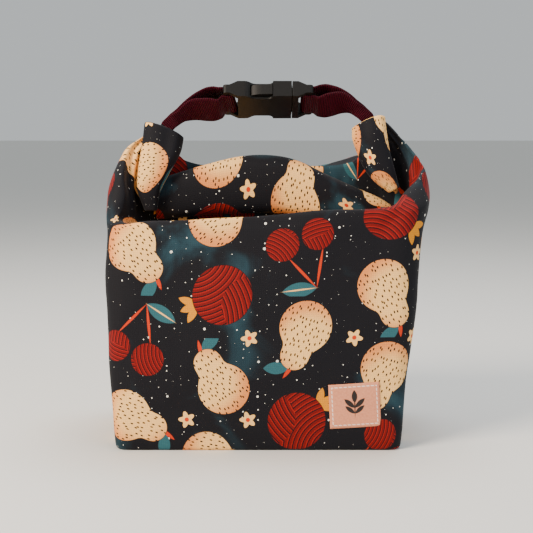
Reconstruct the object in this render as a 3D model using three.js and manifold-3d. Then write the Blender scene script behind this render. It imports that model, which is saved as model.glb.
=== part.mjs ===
import * as THREE from 'three';
import { mergeVertices } from 'three/addons/utils/BufferGeometryUtils.js';
import Module from 'manifold-3d';

// A sewn lunch bag: its mouth is rolled down and the two ends of the roll
// stand up and are clipped together by a side-release buckle, which makes the handle.
// Millimetres, X to the right, Y to the back, Z up, origin on the floor under the middle
// of the whole bag.

const wasm = await Module();
wasm.setup();

// Body of the bag
const baseWidth = 197;
const baseDepth = 125;
const shoulderWidth = 213.4;
const shoulderDepth = 125;
const shoulderHeight = 150;
const baseCornerRadius = 8;
const shoulderCornerRadius = 15;
const sideBulge = 5.8;
const panelBulge = 4.5;
const peakHeight = 227.5;
const bottomEdgeRound = 2;
const topLean = 8.4;
const leanHeight = 190;

// Cloth
const outerCloth = 0.8;
const liningCloth = 0.5;
const clothGap = 0.3;
const rollSheet = 1.2;
const rollSpace = 0.4;
const rollTurns = 2;
const rollCore = 3.8;
const rollWidth = 33;

// Handle
const handleX = 7;
const handleForward = 0.7;
const fingerRoom = 26.2;
const handleTilt = 27;
const webbingWidth = 25;
const webbingThickness = 1.4;
const gatheredWidth = 9.6;
const exitDepth = 3;
const exitPull = 7.5;
const barPull = 20;
const webbingTilt = 44;

// Buckle
const buckleWidth = 33;
const buckleThickness = 12;
const buckleEndThickness = 6.4;
const socketLength = 48;
const plugBaseLength = 14.5;
const buckleWall = 1.8;
const seamGap = 0.5;
const waistDepth = 4.2;
const waistLength = 16;
const blockLength = 13;
const slotLength = 5.7;
const slotSideWall = 3.5;
const barLength = 4.5;
const barThickness = 4.8;
const webbingClearance = 0.3;
const prongThickness = 2.8;
const prongClearance = 0.3;
const padThickness = 4.6;
const padReveal = 0.5;
const hookDepth = 1.9;
const noseLength = 3;
const guideWidth = 4.4;
const guideLength = 15;
const collarLength = 1.5;
const edgeRound = 2.5;

// Label
const labelWidth = 35;
const labelHeight = 31;
const labelThickness = 0.5;
const labelX = 66;
const labelZ = 32;
const labelTilt = 3;

// Places that follow from these sizes; the buckle's are along and across it from its
// own middle.
const buckleHalfLength = (socketLength + seamGap + plugBaseLength) / 2;
const socketStart = -buckleHalfLength;
const mouthX = socketStart + socketLength;
const plugStart = mouthX + seamGap;
const halfBuckleWidth = buckleWidth / 2;
const cavityHalfHeight = buckleThickness / 2 - buckleWall;
const mouthHalfWidth = halfBuckleWidth - buckleWall - padReveal;
const windowEnd = mouthX - blockLength;
const windowStart = windowEnd - waistLength;
const halfWidth = baseWidth / 2;
const halfDepth = baseDepth / 2;
const overrun = 1;
const bodyColumns = 32;
const rimRow = 11;
const pinchDepth = outerCloth + liningCloth + 1.5 * clothGap;
const rollPitch = rollSheet + rollSpace;
const rollStartRadius = (rollCore + rollSheet) / 2;
const rollEndRadius = rollStartRadius + rollTurns * rollPitch;
const rollFrontReach = rollEndRadius + rollSheet / 2;
const rollBackReach = rollFrontReach - rollPitch / 2;

// Places round the half mouth, from the middle of a panel (0) to its side seam (1).
// Each row: share of the way round, then X, Y and Z as shares of half the shoulder
// width, half the shoulder depth and the peak height.
const frontRimShares = [
  [0, 0, 0.96, 0.716],
  [0.25, 0.389, 0.968, 0.714],
  [0.5, 0.778, 0.92, 0.721],
  [0.615, 0.876, 0.736, 0.763],
  [0.81, 0.95, 0.432, 0.835],
  [0.92, 0.89, 0.176, 0.916],
  [1, 0.756, 0.02, 1],
];
const frontValleyShares = [
  [0, 0, 0.04, 0.642],
  [0.25, 0.356, 0.04, 0.642],
  [0.5, 0.694, 0.042, 0.64],
  [0.615, 0.79, 0.06, 0.67],
  [0.81, 0.872, 0.13, 0.78],
  [0.92, 0.834, 0.09, 0.885],
  [1, 0.712, 0.02, 0.971],
];
const frontRootShares = [
  [0, 0, 0.033, 0.848],
  [0.3, 0.431, 0.033, 0.851],
  [0.42, 0.562, 0.033, 0.864],
  [0.52, 0.64, 0.033, 0.885],
  [0.6, 0.72, 0.033, 0.835],
  [0.68, 0.765, 0.05, 0.775],
  [0.78, 0.8, 0.05, 0.795],
  [0.86, 0.785, 0.045, 0.85],
  [0.93, 0.745, 0.035, 0.915],
  [1, 0.661, 0.02, 0.987],
];
const backRimShares = [
  [0, 0, 0.96, 0.835],
  [0.25, 0.389, 0.968, 0.833],
  [0.5, 0.778, 0.912, 0.831],
  [0.615, 0.89, 0.736, 0.84],
  [0.81, 0.95, 0.432, 0.866],
  [0.92, 0.89, 0.176, 0.923],
  [1, 0.756, 0.02, 1],
];
const backValleyShares = [
  [0, 0, 0.448, 0.822],
  [0.25, 0.375, 0.448, 0.822],
  [0.5, 0.731, 0.432, 0.824],
  [0.615, 0.825, 0.32, 0.835],
  [0.81, 0.862, 0.192, 0.87],
  [0.92, 0.825, 0.096, 0.919],
  [1, 0.712, 0.02, 0.971],
];

const backRootShares = [
  [0, 0, 0.033, 0.848],
  [0.3, 0.431, 0.033, 0.851],
  [0.42, 0.562, 0.033, 0.864],
  [0.54, 0.656, 0.033, 0.885],
  [0.7, 0.74, 0.033, 0.89],
  [0.85, 0.765, 0.033, 0.9],
  [0.93, 0.735, 0.033, 0.93],
  [1, 0.661, 0.033, 0.985],
];

// Stations of the roll. Each row: X and Z of its middle as shares of half the shoulder
// width and the peak height, how far it lies in front of the middle stretch as a share of
// the roll's thickness, its flat width and its thickness as shares of the plain roll's,
// and how far its flat side leans from upright, in degrees.
const rollMiddleShares = [
  [-0.684, 0.743, 0, 0.848, 0.9, 180],
  [-0.562, 0.754, 0, 0.97, 1, 180],
  [-0.375, 0.771, 0, 1.091, 1, 180],
  [-0.141, 0.787, 0, 1.242, 1, 180],
  [0.056, 0.791, 0, 1.273, 1, 180],
  [0.253, 0.782, 0, 1.182, 1, 180],
  [0.469, 0.752, 0, 0.939, 1, 180],
  [0.675, 0.725, 0, 0.727, 0.9, 180],
  [0.806, 0.721, 0, 0.485, 0.7, 180],
];
const leftEndShares = [
  [-0.7105, 0.713, 1.025, 0.273, 0.6, 92],
  [-0.7245, 0.775, 0.966, 0.5, 0.8, 96],
  [-0.693, 0.8373, 0.737, 0.68, 0.95, 102],
  [-0.656, 0.8997, 0.441, 0.8, 1, 105],
  [-0.6285, 0.976, 0.102, 0.85, 1, 108],
];
const rightEndShares = [
  [0.926, 0.776, 0.771, 0.273, 0.6, 62],
  [0.845, 0.83, 0.72, 0.6, 0.8, 66],
  [0.778, 0.89, 0.534, 0.76, 0.95, 72],
  [0.745, 0.9445, 0.398, 0.78, 1, 72],
  [0.728, 0.998, 0.102, 0.76, 1, 70],
];

const degree = Math.PI / 180;

// The middle stretch leans against the cloth that rises behind it, and the handle stands
// over it with room for a hand.
const riserShare = 0.04;
const rollY = -(riserShare * shoulderDepth / 2 + clothGap + rollBackReach);
const rollTop = Math.max(...rollMiddleShares.map(([, zShare, , widthShare]) => (
  zShare * peakHeight + widthShare * rollWidth / 2
)));
const tiltSine = Math.sin(handleTilt * degree);
const tiltCosine = Math.cos(handleTilt * degree);
const halfBuckleRise = (buckleWidth * tiltSine + buckleThickness * tiltCosine) / 2;
const handleY = rollY - handleForward;
const handleHeight = rollTop + fingerRoom + halfBuckleRise;

// How far each webbing loop lies along the flat of its roll end, from the middle.
const leftExitShift = 2.5;
const rightExitShift = 0;

// How far each loop hangs below the straight way to its bar.
const leftSag = 2.5;
const rightSag = 0;

const colours = {
  print: 0x24252c,
  lining: 0x8a8f96,
  webbing: 0x5c1022,
  plastic: 0x1d1b1a,
  label: 0xcfa08c,
};

function cloth(colour) {
  return new THREE.MeshStandardMaterial({ color: colour, roughness: 0.85, metalness: 0 });
}

function plastic() {
  return new THREE.MeshStandardMaterial({ color: colours.plastic, roughness: 0.4, metalness: 0 });
}

// Solids

function solidOf(geometry) {
  const bare = geometry.index ? geometry.toNonIndexed() : geometry.clone();
  bare.deleteAttribute('normal');
  bare.deleteAttribute('uv');
  const merged = mergeVertices(bare, 1e-4);
  return new wasm.Manifold(new wasm.Mesh({
    numProp: 3,
    vertProperties: new Float32Array(merged.attributes.position.array),
    triVerts: new Uint32Array(merged.index.array),
  }));
}

function geometryOf(solid) {
  const mesh = solid.getMesh();
  const geometry = new THREE.BufferGeometry();
  geometry.setAttribute('position', new THREE.BufferAttribute(mesh.vertProperties, 3));
  geometry.setIndex(new THREE.BufferAttribute(mesh.triVerts, 1));
  geometry.computeVertexNormals();
  return geometry;
}

// Joins rings of points, each a closed loop seen anticlockwise from the way they run.
function loftRings(rings) {
  const positions = rings.flat().flatMap((point) => [point.x, point.y, point.z]);
  const count = rings[0].length;
  const index = [];
  for (let ring = 0; ring < rings.length - 1; ring += 1) {
    for (let i = 0; i < count; i += 1) {
      const a = ring * count + i;
      const b = ring * count + ((i + 1) % count);
      index.push(a, b, b + count, a, b + count, a + count);
    }
  }
  return { positions, index, count };
}

function geometryFrom(positions, index) {
  const geometry = new THREE.BufferGeometry();
  geometry.setAttribute('position', new THREE.Float32BufferAttribute(positions, 3));
  geometry.setIndex(index);
  geometry.computeVertexNormals();
  return geometry;
}

// A loft whose flat caps are cut into triangles from the outline that the rings share.
function cappedLoft(rings, outline) {
  const { positions, index, count } = loftRings(rings);
  const caps = THREE.ShapeUtils.triangulateShape(outline, []);
  const last = (rings.length - 1) * count;
  for (const [a, b, c] of caps) {
    index.push(a, c, b, last + a, last + b, last + c);
  }
  return geometryFrom(positions, index);
}

// Body

// A smooth value between the rows of a table whose first column is the place.
function valueAt(rows, column, place) {
  const last = rows.length - 1;
  let i = 0;
  while (i < last - 1 && rows[i + 1][0] < place) {
    i += 1;
  }
  const slope = (k) => {
    const before = rows[Math.max(k - 1, 0)];
    const after = rows[Math.min(k + 1, last)];
    return (after[column] - before[column]) / (after[0] - before[0]);
  };
  const span = rows[i + 1][0] - rows[i][0];
  const t = (place - rows[i][0]) / span;
  const rest = 1 - t;
  const start = rest * rest * (1 + 2 * t);
  const end = t * t * (3 - 2 * t);
  return start * rows[i][column] + end * rows[i + 1][column]
    + span * t * rest * (rest * slope(i) - t * slope(i + 1));
}

function leanAt(z) {
  const share = Math.min(z, leanHeight) / leanHeight;
  return topLean * share * share;
}

// place runs from -1 at the left seam through 0 to 1 at the right seam; side is -1 on
// the front half and 1 on the back half.
function tablePoint(rows, place, side) {
  const around = Math.abs(place);
  const x = valueAt(rows, 1, around) * (shoulderWidth / 2) * Math.sign(place);
  const y = valueAt(rows, 2, around) * (shoulderDepth / 2) * side;
  const z = valueAt(rows, 3, around) * peakHeight;
  return new THREE.Vector3(x + leanAt(z), y, z);
}

// A point of the soft rounded rectangle that the body has at height z.
function ringPoint(place, side, z, inset) {
  const up = Math.min(z / shoulderHeight, 1);
  const width = THREE.MathUtils.lerp(halfWidth, shoulderWidth / 2, Math.sin(up * Math.PI / 2));
  const depth = THREE.MathUtils.lerp(halfDepth, shoulderDepth / 2, up);
  const radius = THREE.MathUtils.lerp(baseCornerRadius, shoulderCornerRadius, up);
  const front = width - radius;
  const flank = depth - radius;
  const total = front + radius * Math.PI / 2 + flank;
  const distance = Math.abs(place) * total;
  const corner = THREE.MathUtils.clamp((distance - front) / radius, 0, Math.PI / 2);
  const along = Math.max(distance - front - radius * Math.PI / 2, 0);
  const reach = radius - inset;
  let x = Math.min(distance, front) + reach * Math.sin(corner);
  let y = flank - along + reach * Math.cos(corner);
  const swellShare = 0.9;
  const swell = Math.sin(up * Math.PI * swellShare);
  y += panelBulge * swell * Math.cos(Math.min(x / width, 1) * Math.PI / 2);
  x += sideBulge * up * up * Math.cos(Math.min(Math.max(y, 0) / depth, 1) * Math.PI / 2);
  return new THREE.Vector3(x * Math.sign(place) + leanAt(z), y * side, z);
}

// The cloth's way up one column: base, wall, shoulder, rim, down the roof to the
// valley, and up to the root of the roll.
function columnPoints(place, side) {
  const front = side < 0;
  const wallShares = [0.03, 0.2, 0.4, 0.6, 0.8, 1];
  const points = [
    ringPoint(place, side, 0, bottomEdgeRound),
    ringPoint(place, side, bottomEdgeRound / 2, bottomEdgeRound / 4),
    ...wallShares.map((share) => ringPoint(place, side, share * shoulderHeight, 0)),
  ];
  const shoulder = points[points.length - 1];
  const rim = tablePoint(front ? frontRimShares : backRimShares, place, side);
  const valley = tablePoint(front ? frontValleyShares : backValleyShares, place, side);
  const root = tablePoint(front ? frontRootShares : backRootShares, place, side);
  if (!front) {
    root.z += outerCloth;
  }
  const climbShare = 0.6;
  const pull = shoulder.clone().setZ(THREE.MathUtils.lerp(shoulder.z, rim.z, climbShare));
  const wall = new THREE.QuadraticBezierCurve3(shoulder, pull, rim);
  const softShare = front ? 0.25 : 0.32;
  const valleyShare = 0.8;
  const riserShares = [0.25, 0.6];
  const beforeRim = wall.getPoint(1 - softShare);
  const afterRim = rim.clone().lerp(valley, softShare);
  const beforeValley = rim.clone().lerp(valley, valleyShare);
  const afterValley = valley.clone().lerp(root, riserShares[0]);
  points.push(
    wall.getPoint(1 / 4),
    wall.getPoint(1 / 2),
    beforeRim,
    roundedPeak(beforeRim, rim, afterRim),
    afterRim,
    rim.clone().lerp(valley, 1 / 2),
    beforeValley,
    roundedPeak(beforeValley, valley, afterValley),
    afterValley,
    valley.clone().lerp(root, riserShares[1]),
    root,
  );
  return points;
}

// The peak moved halfway to the middle of its neighbours.
function roundedPeak(before, peak, after) {
  return before.clone().lerp(after, 1 / 2).lerp(peak, 1 / 2);
}

// Columns of points from one side seam to the other.
function bodyGrid(side) {
  const grid = [];
  for (let i = 0; i <= bodyColumns; i += 1) {
    const place = (2 * i) / bodyColumns - 1;
    grid.push(columnPoints(-place * side, side));
  }
  for (const seam of [grid[0], grid[bodyColumns]]) {
    seam.forEach((point, j) => {
      point.y = side * (j < rimRow ? clothGap / 2 : pinchDepth);
    });
  }
  return grid;
}

// The mean of the ways that the up to four cells round a point face.
function surfaceNormal(grid, i, j) {
  const here = grid[i][j];
  const normal = new THREE.Vector3();
  for (const right of [-1, 1]) {
    for (const up of [-1, 1]) {
      const beside = grid[i + right]?.[j];
      const above = grid[i]?.[j + up];
      if (beside && above) {
        const across = beside.clone().sub(here).multiplyScalar(right);
        const rise = above.clone().sub(here).multiplyScalar(up);
        normal.add(across.cross(rise).normalize());
      }
    }
  }
  const onSeam = i === 0 || i === grid.length - 1;
  if (onSeam && j < rimRow) {
    normal.y = 0;
  }
  if (j === 0) {
    normal.z = 0;
  }
  return normal.normalize();
}

// The grid moved inward, and kept off the floor by as much.
function insetGrid(grid, inset, floor) {
  return grid.map((column, i) => column.map((point, j) => {
    const moved = point.clone().addScaledVector(surfaceNormal(grid, i, j), -inset);
    return moved.setZ(Math.max(moved.z, floor));
  }));
}

// A closed sheet between an outer and an inner grid of the same size, both split into
// triangles along the same diagonals, so that sheets under each other stay parallel.
function sheetBetween(outer, inner) {
  const columns = outer.length - 1;
  const rows = outer[0].length - 1;
  const positions = [...outer.flat(), ...inner.flat()].flatMap(({ x, y, z }) => [x, y, z]);
  const under = (columns + 1) * (rows + 1);
  const at = (i, j) => i * (rows + 1) + j;
  const index = [];
  for (let i = 0; i < columns; i += 1) {
    for (let j = 0; j < rows; j += 1) {
      const corners = [at(i, j), at(i + 1, j), at(i + 1, j + 1), at(i, j + 1)];
      const [a, b, c, d] = corners;
      index.push(a, b, c, a, c, d);
      const [e, f, g, h] = corners.map((corner) => corner + under);
      index.push(e, g, f, e, h, g);
    }
  }
  const border = [];
  for (let i = 0; i < columns; i += 1) {
    border.push(at(i, 0));
  }
  for (let j = 0; j < rows; j += 1) {
    border.push(at(columns, j));
  }
  for (let i = columns; i > 0; i -= 1) {
    border.push(at(i, rows));
  }
  for (let j = rows; j > 0; j -= 1) {
    border.push(at(0, j));
  }
  border.forEach((from, k) => {
    const to = border[(k + 1) % border.length];
    index.push(to, from, from + under, to, from + under, to + under);
  });
  return geometryFrom(positions, index);
}

// One half of the bag: the wall joined to its half of the base.
function halfShell(side, firstInset, thickness) {
  const grid = bodyGrid(side);
  const outer = insetGrid(grid, firstInset, firstInset);
  const inner = insetGrid(grid, firstInset + thickness, firstInset);
  const wall = solidOf(sheetBetween(outer, inner));
  const edge = insetGrid(grid, firstInset + thickness / 4, 0).map((column) => column[0]);
  const outline = new THREE.Shape(edge.map((point) => new THREE.Vector2(point.x, point.y)));
  const base = new THREE.ExtrudeGeometry(outline, { depth: thickness, bevelEnabled: false });
  base.translate(0, 0, firstInset);
  return geometryOf(wall.add(solidOf(base)));
}

// Roll

// The flat spiral that the rolled cloth shows at its end: round turns joined by flats.
function spiralOutline() {
  const halfFlat = rollWidth / 2 - rollFrontReach;
  const bendSteps = 4;
  const halfTurns = 2 * rollTurns;
  const line = [];
  for (let half = 0; half < halfTurns; half += 1) {
    for (let step = 0; step <= bendSteps; step += 1) {
      const turned = (half + step / bendSteps) * Math.PI;
      const radius = rollStartRadius + rollPitch * turned / (2 * Math.PI);
      line.push({ shift: half % 2 ? -halfFlat : halfFlat, angle: turned - Math.PI / 2, radius });
    }
  }
  const sideOf = (offset) => line.map(({ shift, angle, radius }) => new THREE.Vector2(
    shift + (radius + offset) * Math.cos(angle),
    (radius + offset) * Math.sin(angle),
  ));
  return [...sideOf(rollSheet / 2), ...sideOf(-rollSheet / 2).reverse()];
}

function flatWay(lean) {
  return new THREE.Vector3(Math.sin(lean * degree), 0, Math.cos(lean * degree));
}

function rollAxis(lean) {
  return new THREE.Vector3(-Math.cos(lean * degree), 0, Math.sin(lean * degree));
}

function rollStations(rows) {
  const thickness = rollFrontReach + rollBackReach;
  return rows.map(([xShare, zShare, frontShare, widthShare, thickShare, lean]) => ({
    at: [xShare * shoulderWidth / 2, rollY - frontShare * thickness, zShare * peakHeight],
    width: widthShare * rollWidth,
    thickShare,
    lean,
  }));
}

// The rows of a table with others between them, along one smooth curve.
function smoothRows(rows) {
  const numbered = rows.map((row, i) => [i, ...row]);
  const places = [];
  for (let i = 0; i < rows.length - 1; i += 1) {
    places.push(i, i + 1 / 2);
  }
  places.push(rows.length - 1);
  return places.map((place) => rows[0].map((first, column) => (
    valueAt(numbered, column + 1, place)
  )));
}

function rollGeometry(stations) {
  const outline = spiralOutline();
  const rings = stations.map(({ at, width, thickShare, lean }) => outline.map((point) => (
    new THREE.Vector3(...at)
      .addScaledVector(flatWay(lean), point.x * width / rollWidth)
      .add(new THREE.Vector3(0, point.y * thickShare, 0))
  )));
  return cappedLoft(rings, outline);
}

// Webbing

// A band of webbing through frames that each hold a centre, a width direction, a
// width and the way that its thickness lies.
function bandGeometry(frames) {
  const square = [[-1, -1], [1, -1], [1, 1], [-1, 1]];
  const outline = square.map(([x, y]) => new THREE.Vector2(x, y));
  const rings = frames.map(({ centre, across, width, through }) => square.map(([u, v]) => (
    centre.clone()
      .addScaledVector(across, u * width / 2)
      .addScaledVector(through, v * webbingThickness / 2)
  )));
  return cappedLoft(rings, outline);
}

// The loop from the open end of the roll, round the buckle's bar and back; toward is 1
// when it heads to the right and -1 when it heads to the left. It folds where it leaves
// the roll, and turns from the roll's flat to the buckle's tilt.
function loopFrames(stations, shift, toward, sag) {
  const { at, lean } = stations[stations.length - 1];
  const way = rollAxis(lean);
  const flat = flatWay(lean).multiplyScalar(-Math.sign(flatWay(lean).z));
  const exit = new THREE.Vector3(...at).addScaledVector(flatWay(lean), shift);
  const exitTurnShare = 0.6;
  const leave = way.clone().add(new THREE.Vector3(toward * exitTurnShare, 0, 0));
  const bend = new THREE.Vector3(
    handleX - toward * (buckleHalfLength - barLength), handleY, handleHeight,
  );
  const barEnd = bend.clone().add(new THREE.Vector3(-toward * barLength, 0, 0));
  const path = new THREE.CubicBezierCurve3(
    exit,
    exit.clone().addScaledVector(leave, exitPull),
    barEnd.clone().add(new THREE.Vector3(-toward * barPull, 0, -sag)),
    barEnd,
  );
  const barRadius = barThickness / 2 + webbingClearance + webbingThickness / 2;
  const exitGap = (webbingThickness + webbingClearance) / 2;
  const steps = 9;
  const twistShares = [0.04, 0.34];
  const tiltShares = [0.5, 1];
  const spreadShares = [0.08, 0.52];
  const openShares = [0.1, 0.9];
  const frameAt = (centre, tangent, t) => {
    const twist = THREE.MathUtils.smoothstep(t, ...twistShares);
    const tilt = THREE.MathUtils.lerp(
      webbingTilt, handleTilt, THREE.MathUtils.smoothstep(t, ...tiltShares),
    );
    const level = new THREE.Vector3(0, Math.cos(tilt * degree), -Math.sin(tilt * degree));
    const across = flat.clone().lerp(level, twist);
    across.addScaledVector(tangent, -across.dot(tangent)).normalize();
    return {
      centre,
      across,
      through: tangent.clone().cross(across).multiplyScalar(toward),
      width: THREE.MathUtils.lerp(
        gatheredWidth, webbingWidth, THREE.MathUtils.smoothstep(t, ...spreadShares),
      ),
      gap: THREE.MathUtils.lerp(
        exitGap, barRadius, THREE.MathUtils.smoothstep(t, ...openShares),
      ),
    };
  };
  const spine = [frameAt(exit.clone().addScaledVector(way, -exitDepth), way, 0)];
  for (let i = 0; i <= steps; i += 1) {
    const t = i / steps;
    spine.push(frameAt(path.getPoint(t), path.getTangent(t), t));
  }
  spine.push({ ...spine[spine.length - 1], centre: bend });
  const leg = (sign) => spine.map(({ centre, across, through, width, gap }) => ({
    centre: centre.clone().addScaledVector(through, sign * gap),
    across,
    width,
    through: through.clone().multiplyScalar(sign * toward),
  }));
  const end = spine[spine.length - 1];
  const bendSteps = 6;
  const turn = [];
  for (let i = 1; i < bendSteps; i += 1) {
    const angle = Math.PI / 2 - (i / bendSteps) * Math.PI;
    const out = new THREE.Vector3(toward * Math.cos(angle), 0, 0)
      .addScaledVector(end.through, Math.sin(angle));
    turn.push({
      centre: bend.clone().addScaledVector(out, barRadius),
      across: end.across,
      width: webbingWidth,
      through: out.multiplyScalar(toward),
    });
  }
  return [...leg(1), ...turn, ...leg(-1).reverse()];
}

// The sewn-in end of the same webbing, lying in the middle of the roll.
function tailFrames(stations, shift) {
  const inner = stations.slice(2);
  const frames = inner.map(({ at, lean }) => ({
    centre: new THREE.Vector3(...at).addScaledVector(flatWay(lean), shift),
    across: flatWay(lean),
    width: gatheredWidth,
    through: new THREE.Vector3(0, 1, 0),
  }));
  const last = frames[frames.length - 1];
  const axis = rollAxis(inner[inner.length - 1].lean);
  last.centre.addScaledVector(axis, -exitDepth - clothGap);
  return frames;
}

// Buckle, drawn level about its own middle: X along it, Y across it, Z through it

function planSolid(outline, height) {
  const geometry = new THREE.ExtrudeGeometry(outline, {
    depth: height, bevelEnabled: false, curveSegments: 6,
  });
  geometry.translate(0, 0, -height / 2);
  return solidOf(geometry);
}

function boxSolid(fromX, toX, fromY, toY, fromZ, toZ) {
  const geometry = new THREE.BoxGeometry(toX - fromX, toY - fromY, toZ - fromZ);
  geometry.translate((fromX + toX) / 2, (fromY + toY) / 2, (fromZ + toZ) / 2);
  return solidOf(geometry);
}

// The waisted outline of the socket seen from above.
function socketOutline() {
  const outline = new THREE.Shape();
  const w = halfBuckleWidth;
  const waist = w - waistDepth;
  outline.moveTo(socketStart, w - edgeRound);
  outline.lineTo(socketStart, -w + edgeRound);
  outline.quadraticCurveTo(socketStart, -w, socketStart + edgeRound, -w);
  outline.lineTo(windowStart - waistDepth, -w);
  outline.bezierCurveTo(windowStart, -w, windowStart, -waist, windowStart + waistDepth, -waist);
  outline.lineTo(windowEnd - waistDepth, -waist);
  outline.quadraticCurveTo(windowEnd, -waist, windowEnd, -w);
  outline.lineTo(mouthX, -w);
  outline.lineTo(mouthX, w);
  outline.lineTo(windowEnd, w);
  outline.quadraticCurveTo(windowEnd, waist, windowEnd - waistDepth, waist);
  outline.lineTo(windowStart + waistDepth, waist);
  outline.bezierCurveTo(windowStart, waist, windowStart, w, windowStart - waistDepth, w);
  outline.lineTo(socketStart + edgeRound, w);
  outline.quadraticCurveTo(socketStart, w, socketStart, w - edgeRound);
  return outline;
}

// The side view that thins the buckle towards its bar, from the bar's end inward.
function sideProfile(barEnd, inward, farEnd) {
  const thin = buckleEndThickness / 2;
  const thick = buckleThickness / 2;
  const rampEnd = barEnd + inward * (barLength + slotLength);
  const rampStart = barEnd + inward * barLength;
  const profile = new THREE.Shape();
  profile.moveTo(barEnd, -thin);
  profile.lineTo(rampStart, -thin);
  profile.lineTo(rampEnd, -thick);
  profile.lineTo(farEnd, -thick);
  profile.lineTo(farEnd, thick);
  profile.lineTo(rampEnd, thick);
  profile.lineTo(rampStart, thin);
  profile.lineTo(barEnd, thin);
  const geometry = new THREE.ExtrudeGeometry(profile, {
    depth: buckleWidth + 2 * overrun, bevelEnabled: false,
  });
  geometry.translate(0, 0, -buckleWidth / 2 - overrun);
  geometry.rotateX(Math.PI / 2);
  return solidOf(geometry);
}

// The slot for the webbing, and the room above and below its bar.
function webbingSlot(barEnd, inward) {
  const barInner = barEnd + inward * barLength;
  const slotInner = barInner + inward * slotLength;
  const reach = halfBuckleWidth - slotSideWall;
  const far = buckleThickness;
  const near = barEnd - inward * overrun;
  const slot = boxSolid(
    Math.min(barInner, slotInner), Math.max(barInner, slotInner), -reach, reach, -far, far,
  );
  const room = (from, to) => boxSolid(
    Math.min(near, barInner), Math.max(near, barInner), -reach, reach, from, to,
  );
  return slot.add(room(barThickness / 2, far)).add(room(-far, -barThickness / 2));
}

function socketSolid() {
  const cavityStart = windowStart - noseLength;
  const cavity = boxSolid(
    cavityStart, mouthX + overrun, -mouthHalfWidth, mouthHalfWidth,
    -cavityHalfHeight, cavityHalfHeight,
  );
  const windows = boxSolid(
    windowStart, windowEnd, -halfBuckleWidth - overrun, halfBuckleWidth + overrun,
    -cavityHalfHeight, cavityHalfHeight,
  );
  return planSolid(socketOutline(), buckleThickness)
    .intersect(sideProfile(socketStart, 1, mouthX + overrun))
    .subtract(cavity)
    .subtract(windows)
    .subtract(webbingSlot(socketStart, 1));
}

function plugSolid() {
  const outline = new THREE.Shape();
  const w = halfBuckleWidth;
  const end = buckleHalfLength;
  outline.moveTo(plugStart, -w);
  outline.lineTo(end - edgeRound, -w);
  outline.quadraticCurveTo(end, -w, end, -w + edgeRound);
  outline.lineTo(end, w - edgeRound);
  outline.quadraticCurveTo(end, w, end - edgeRound, w);
  outline.lineTo(plugStart, w);
  const collarReach = mouthHalfWidth - prongClearance * 2 - prongThickness;
  const height = cavityHalfHeight - prongClearance;
  const collar = boxSolid(
    plugStart - collarLength, plugStart + overrun,
    -collarReach + prongClearance, collarReach - prongClearance, -height, height,
  );
  const guide = new THREE.Shape();
  const tip = plugStart - guideLength;
  guide.moveTo(plugStart + overrun, -guideWidth / 2);
  guide.lineTo(plugStart + overrun, guideWidth / 2);
  guide.lineTo(tip + guideWidth / 2, guideWidth / 2);
  guide.quadraticCurveTo(tip, guideWidth / 2, tip, 0);
  guide.quadraticCurveTo(tip, -guideWidth / 2, tip + guideWidth / 2, -guideWidth / 2);
  return planSolid(outline, buckleThickness)
    .intersect(sideProfile(end, -1, plugStart - overrun))
    .subtract(webbingSlot(end, -1))
    .add(collar)
    .add(planSolid(guide, 2 * height));
}

// A spring arm with its finger pad and hook; side is -1 for the front one.
function prongSolid(side) {
  const root = plugStart - prongClearance;
  const outer = mouthHalfWidth - prongClearance;
  const inner = outer - prongThickness;
  const padOuter = mouthHalfWidth - prongClearance + hookDepth;
  const padInner = padOuter - padThickness;
  const hook = windowEnd - prongClearance;
  const nose = windowStart + prongClearance - noseLength / 2;
  const arm = new THREE.Shape();
  arm.moveTo(root, side * inner);
  arm.lineTo(root, side * outer);
  arm.lineTo(hook, side * outer);
  arm.lineTo(hook, side * padOuter);
  arm.bezierCurveTo(
    (hook + nose) / 2, side * (padOuter - padReveal),
    nose + noseLength, side * padOuter,
    nose, side * (padInner + padReveal),
  );
  arm.lineTo(nose, side * padInner);
  arm.bezierCurveTo(
    (hook + nose) / 2, side * (padInner - padReveal),
    hook, side * inner,
    hook + noseLength, side * inner,
  );
  return planSolid(arm, 2 * (cavityHalfHeight - prongClearance));
}

// Label

// A sewn patch lying on the front panel.
function labelSolid() {
  const columns = 6;
  const rows = 4;
  const turn = labelTilt * degree;
  const halvings = 24;
  const frontPoint = (x, z) => {
    let low = 0;
    let high = 1;
    for (let i = 0; i < halvings; i += 1) {
      const middle = (low + high) / 2;
      const reached = ringPoint(middle, -1, z, 0).x < x;
      low = reached ? middle : low;
      high = reached ? high : middle;
    }
    return ringPoint((low + high) / 2, -1, z, 0);
  };
  const grid = [];
  for (let i = 0; i <= columns; i += 1) {
    const column = [];
    for (let j = 0; j <= rows; j += 1) {
      const u = (i / columns - 1 / 2) * labelWidth;
      const v = (j / rows - 1 / 2) * labelHeight;
      column.push(frontPoint(
        labelX + u * Math.cos(turn) - v * Math.sin(turn),
        labelZ + u * Math.sin(turn) + v * Math.cos(turn),
      ));
    }
    grid.push(column);
  }
  const forward = (offset) => grid.map((column) => column.map((point) => (
    point.clone().add(new THREE.Vector3(0, -offset, 0))
  )));
  return sheetBetween(forward(clothGap + labelThickness), forward(clothGap));
}

// Assembly

const bag = new THREE.Group();

function addPiece(parent, name, geometry, material) {
  const piece = new THREE.Mesh(geometry, material);
  piece.name = name;
  parent.add(piece);
  return piece;
}

const liningInset = outerCloth + clothGap;
addPiece(bag, 'outer_front', halfShell(-1, 0, outerCloth), cloth(colours.print));
addPiece(bag, 'outer_back', halfShell(1, 0, outerCloth), cloth(colours.print));
addPiece(bag, 'lining_front', halfShell(-1, liningInset, liningCloth), cloth(colours.lining));
addPiece(bag, 'lining_back', halfShell(1, liningInset, liningCloth), cloth(colours.lining));

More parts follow.
